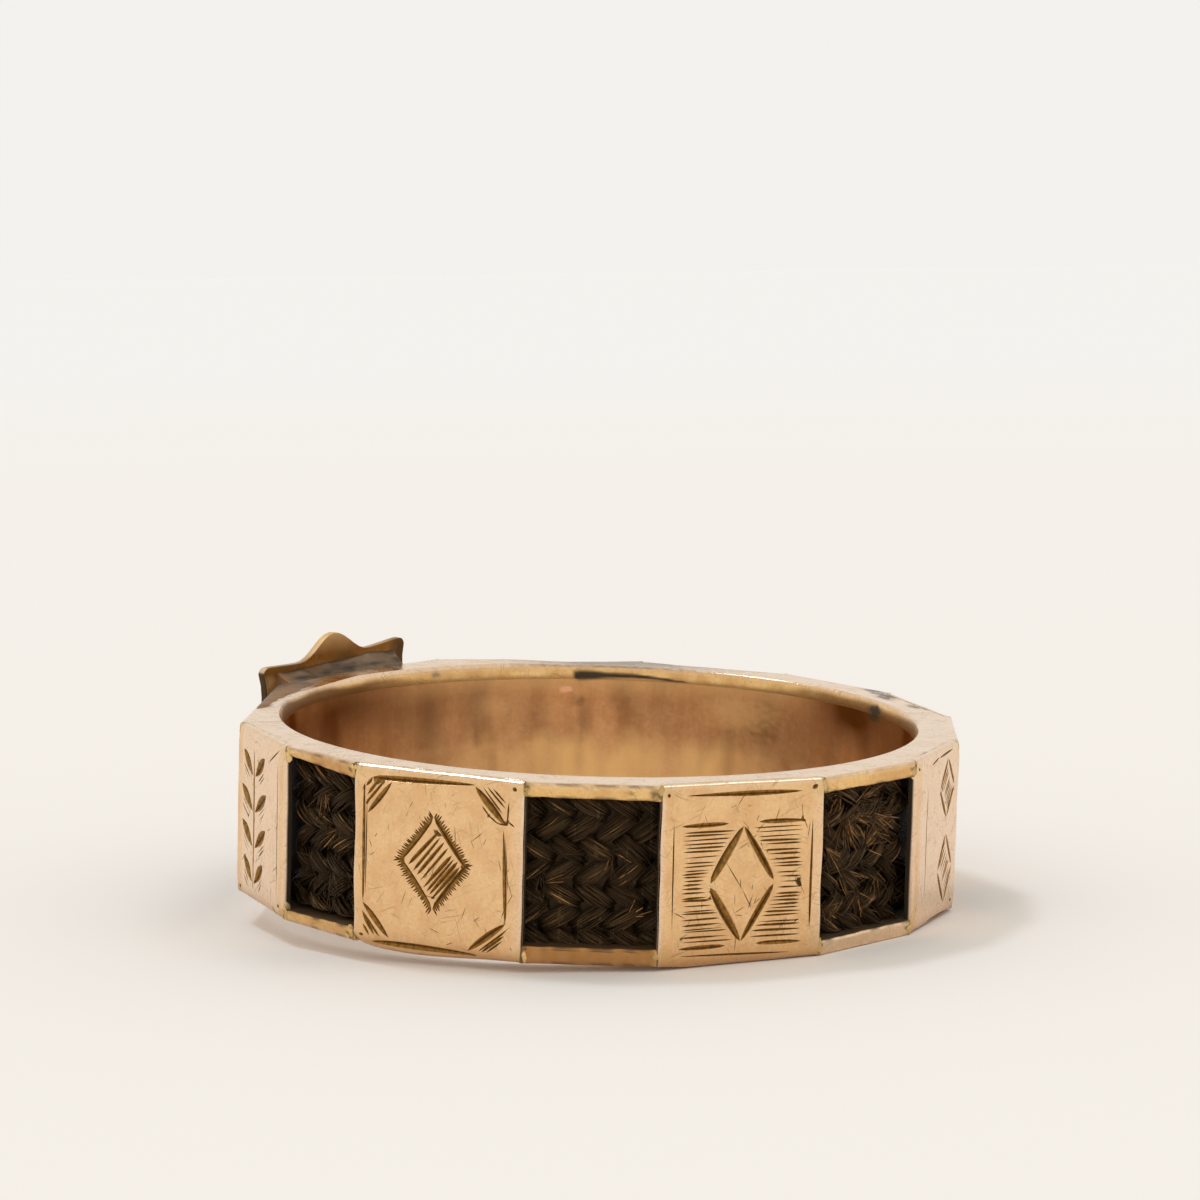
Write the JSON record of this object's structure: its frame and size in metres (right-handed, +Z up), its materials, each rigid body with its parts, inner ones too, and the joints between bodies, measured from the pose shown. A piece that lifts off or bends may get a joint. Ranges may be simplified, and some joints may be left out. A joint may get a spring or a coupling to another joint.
{
  "type": "hairwork ring",
  "caption": "Flat-faceted gold finger ring with a channel of woven hair showing in windows between engraved panels, and a scalloped cover plate at the back.",
  "frame": {"origin": "centre of the finger hole, on its axis and halfway up the band", "axes": "+Z up as the ring lies on its side; the finger hole's axis leans from +Z by the few degrees at which the ring rests; -Y is towards the front, and the cover plate is at the back left, towards -X and +Y"},
  "size_m": [0.0208, 0.021, 0.0073],
  "materials": {
    "rose_gold": "worn rose gold, hand engraved, tarnished inside",
    "woven_hair": "dark brown human hair in a flat herringbone braid",
    "cartouche_gold": "brown tarnished gold plate on a dark grey solder base"
  },
  "bodies": {
    "root": {"gold_band": "rose_gold", "hair_braid": "woven_hair", "cartouche": "cartouche_gold"}
  },
  "joints": []
}
